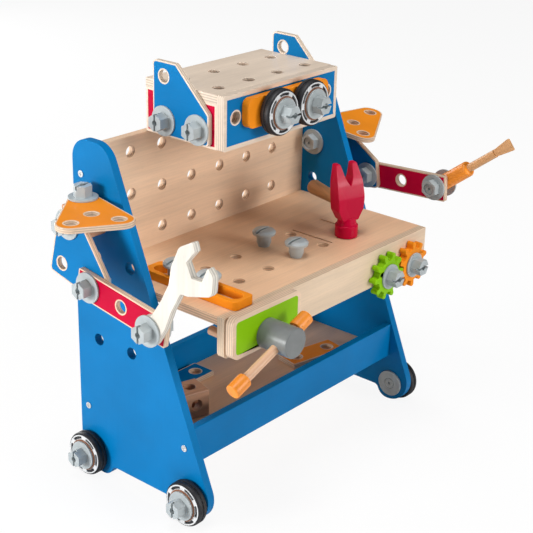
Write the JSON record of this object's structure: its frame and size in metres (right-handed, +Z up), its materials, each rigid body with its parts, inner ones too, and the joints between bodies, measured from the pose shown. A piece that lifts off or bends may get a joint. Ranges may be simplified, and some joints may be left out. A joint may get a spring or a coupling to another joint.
{
  "type": "toy workbench",
  "caption": "Toy robot workbench of bolted plywood with wheels, a box head with wheel eyes, jointed arms holding tools, meshing gears, a sliding vise, a pegboard and loose tools.",
  "frame": {"origin": "middle of the footprint box on the floor the wheels stand on", "axes": "+Z up, -Y out of the front of the bench where the vise and gears are, +X towards the side with the screwdriver arm"},
  "size_m": [0.546, 0.2778, 0.449],
  "materials": {
    "panel_blue": "satin blue paint on plywood",
    "plain_ply": "clear lacquered birch plywood",
    "head_ply": "clear lacquered birch plywood with printed colour fields",
    "plate_blue": "blue printed faces with bare plywood edges",
    "plate_red": "red printed faces with bare plywood edges",
    "plate_orange": "orange printed faces with bare plywood edges",
    "jaw_green": "green printed face with bare wood border",
    "gear_green": "satin green paint",
    "gear_orange": "satin orange paint",
    "grey_plastic": "smooth light grey moulded plastic",
    "grey_cylinder": "smooth darker grey moulded plastic",
    "black_tyre": "soft black plastic tyre",
    "hub_grey": "light grey wheel centre",
    "brown_washer": "stained wooden washer",
    "steel_screw": "plated cross-head screw",
    "beech": "clear lacquered beech",
    "cream_ply": "pale lacquered plywood",
    "orange_paint": "translucent orange stain",
    "red_paint": "glossy red paint"
  },
  "bodies": {
    "frame": {"side_panel_left": "panel_blue", "side_panel_right": "panel_blue", "panel_screws": "steel_screw", "pegboard": "plain_ply", "bench_top": "plain_ply", "bench_apron": "plain_ply", "tray_floor": "plain_ply", "tray_front_rail": "panel_blue", "tray_rear_rail": "panel_blue", "head_front": "head_ply", "head_top": "plain_ply", "head_sides": "head_ply", "eye_block": "plate_orange", "ears": "plate_blue", "frame_bolts": "grey_plastic", "frame_nuts": "grey_plastic", "washers": "brown_washer"},
    "wheel_front_left": {"tyre_front_left": "black_tyre", "hub_front_left": "hub_grey"},
    "wheel_front_right": {"tyre_front_right": "black_tyre", "hub_front_right": "hub_grey"},
    "wheel_rear_left": {"tyre_rear_left": "black_tyre", "hub_rear_left": "hub_grey"},
    "wheel_rear_right": {"tyre_rear_right": "black_tyre", "hub_rear_right": "hub_grey"},
    "eye_left": {"tyre_eye_left": "black_tyre", "hub_eye_left": "hub_grey"},
    "eye_right": {"tyre_eye_right": "black_tyre", "hub_eye_right": "hub_grey"},
    "gear_green": {"gear_green": "gear_green"},
    "gear_orange": {"gear_orange": "gear_orange"},
    "vise_jaw": {"vise_jaw": "jaw_green", "vise_dowels": "beech"},
    "vise_screw": {"vise_screw": "grey_cylinder"},
    "vise_handle": {"vise_rod": "beech", "vise_caps": "orange_paint"},
    "shoulder_left": {"block_left": "beech", "shoulder_plate_left": "plate_blue", "shoulder_fasteners_left": "grey_plastic"},
    "triangle_left": {"triangle_left": "plate_orange"},
    "forearm_left": {"arm_bar_left": "plate_red", "wrist_fasteners_left": "grey_plastic"},
    "tool_left": {"wrench": "cream_ply"},
    "shoulder_right": {"block_right": "beech", "shoulder_plate_right": "plate_blue", "shoulder_fasteners_right": "grey_plastic"},
    "triangle_right": {"triangle_right": "plate_orange"},
    "forearm_right": {"arm_bar_right": "plate_red", "wrist_fasteners_right": "grey_plastic"},
    "tool_right": {"screwdriver_handle": "orange_paint", "screwdriver_blade": "beech"},
    "bench_peg_front": {"bench_peg_front": "grey_plastic"},
    "bench_peg_rear": {"bench_peg_rear": "grey_plastic"},
    "slotted_plate": {"slotted_plate": "plate_orange", "plate_pegs": "grey_plastic"},
    "hammer": {"hammer_head": "red_paint", "hammer_handle": "orange_paint"},
    "tray_block": {"tray_block": "beech"},
    "tray_bar_blue": {"tray_bar_blue": "plate_blue"},
    "tray_bar_orange": {"tray_bar_orange": "plate_orange"}
  },
  "joints": [
    {"name": "wheel_front_left_spin", "type": "hinge", "parent": "frame", "child": "wheel_front_left", "pos_m": [-0.19441, -0.03419, 0.0245], "axis": [1, 0, 0], "continuous": true},
    {"name": "wheel_front_right_spin", "type": "hinge", "parent": "frame", "child": "wheel_front_right", "pos_m": [0.17959, -0.03419, 0.0245], "axis": [1, 0, 0], "continuous": true},
    {"name": "wheel_rear_left_spin", "type": "hinge", "parent": "frame", "child": "wheel_rear_left", "pos_m": [-0.19441, 0.11421, 0.0245], "axis": [1, 0, 0], "continuous": true},
    {"name": "wheel_rear_right_spin", "type": "hinge", "parent": "frame", "child": "wheel_rear_right", "pos_m": [0.17959, 0.11421, 0.0245], "axis": [1, 0, 0], "continuous": true},
    {"name": "eye_left_spin", "type": "hinge", "parent": "frame", "child": "eye_left", "pos_m": [-0.03241, -0.00899, 0.4013], "axis": [0, 1, 0], "continuous": true},
    {"name": "eye_right_spin", "type": "hinge", "parent": "frame", "child": "eye_right", "pos_m": [0.01759, -0.00899, 0.4013], "axis": [0, 1, 0], "continuous": true},
    {"name": "gear_green_spin", "type": "hinge", "parent": "frame", "child": "gear_green", "pos_m": [0.08259, -0.07399, 0.204], "axis": [0, 1, 0], "continuous": true},
    {"name": "gear_orange_spin", "type": "hinge", "parent": "frame", "child": "gear_orange", "pos_m": [0.12909, -0.07399, 0.204], "axis": [0, 1, 0], "continuous": true},
    {"name": "vise_jaw_slide", "type": "slide", "parent": "frame", "child": "vise_jaw", "axis": [0, -1, 0], "range_m": [0, 0.02]},
    {"name": "vise_screw_turn", "type": "hinge", "parent": "vise_jaw", "child": "vise_screw", "pos_m": [-0.12791, -0.08799, 0.2095], "axis": [0, -1, 0], "range_deg": [0, 600]},
    {"name": "vise_handle_slide", "type": "slide", "parent": "vise_screw", "child": "vise_handle", "axis": [0.9336, 0, 0.3584], "range_m": [0, 0.044]},
    {"name": "shoulder_left_turn", "type": "hinge", "parent": "frame", "child": "shoulder_left", "pos_m": [-0.20301, 0.09901, 0.303], "axis": [1, 0, 0], "range_deg": [-25, 25]},
    {"name": "triangle_left_turn", "type": "hinge", "parent": "shoulder_left", "child": "triangle_left", "pos_m": [-0.20301, 0.09901, 0.323], "axis": [0, 0, 1], "range_deg": [-60, 12]},
    {"name": "elbow_left_turn", "type": "hinge", "parent": "shoulder_left", "child": "forearm_left", "pos_m": [-0.23241, 0.06514, 0.24663], "axis": [1, 0, 0], "range_deg": [-30, 40]},
    {"name": "wrist_left_turn", "type": "hinge", "parent": "forearm_left", "child": "tool_left", "pos_m": [-0.24241, -0.02672, 0.23208], "axis": [1, 0, 0], "range_deg": [-35, 35]},
    {"name": "shoulder_right_turn", "type": "hinge", "parent": "frame", "child": "shoulder_right", "pos_m": [0.18819, 0.09901, 0.303], "axis": [1, 0, 0], "range_deg": [-25, 25]},
    {"name": "triangle_right_turn", "type": "hinge", "parent": "shoulder_right", "child": "triangle_right", "pos_m": [0.18819, 0.09553, 0.3227], "axis": [0, -0.1736, 0.9848], "range_deg": [-8, 60]},
    {"name": "elbow_right_turn", "type": "hinge", "parent": "shoulder_right", "child": "forearm_right", "pos_m": [0.21759, 0.04649, 0.26342], "axis": [1, 0, 0], "range_deg": [-30, 40]},
    {"name": "wrist_right_turn", "type": "hinge", "parent": "forearm_right", "child": "tool_right", "pos_m": [0.22759, -0.04636, 0.26878], "axis": [1, 0, 0], "range_deg": [-35, 35]},
    {"name": "bench_peg_front_lift", "type": "slide", "parent": "frame", "child": "bench_peg_front", "axis": [0, 0, 1], "range_m": [0, 0.03]},
    {"name": "bench_peg_rear_lift", "type": "slide", "parent": "frame", "child": "bench_peg_rear", "axis": [0, 0, 1], "range_m": [0, 0.03]},
    {"name": "slotted_plate_lift", "type": "slide", "parent": "frame", "child": "slotted_plate", "axis": [0, 0, 1], "range_m": [0, 0.03]},
    {"name": "hammer_lift", "type": "slide", "parent": "frame", "child": "hammer", "axis": [0, 0, 1], "range_m": [0, 0.05]},
    {"name": "tray_block_lift", "type": "slide", "parent": "frame", "child": "tray_block", "axis": [0, 0, 1], "range_m": [0, 0.05]},
    {"name": "tray_bar_blue_lift", "type": "slide", "parent": "frame", "child": "tray_bar_blue", "axis": [0, 0, 1], "range_m": [0, 0.05]},
    {"name": "tray_bar_orange_lift", "type": "slide", "parent": "frame", "child": "tray_bar_orange", "axis": [0, 0, 1], "range_m": [0, 0.05]}
  ],
  "couplings": [
    {"joint": "gear_green_spin", "follows": "gear_orange_spin", "ratio": -1},
    {"joint": "vise_screw_turn", "follows": "vise_jaw_slide", "rad_per_m": 523.6}
  ]
}
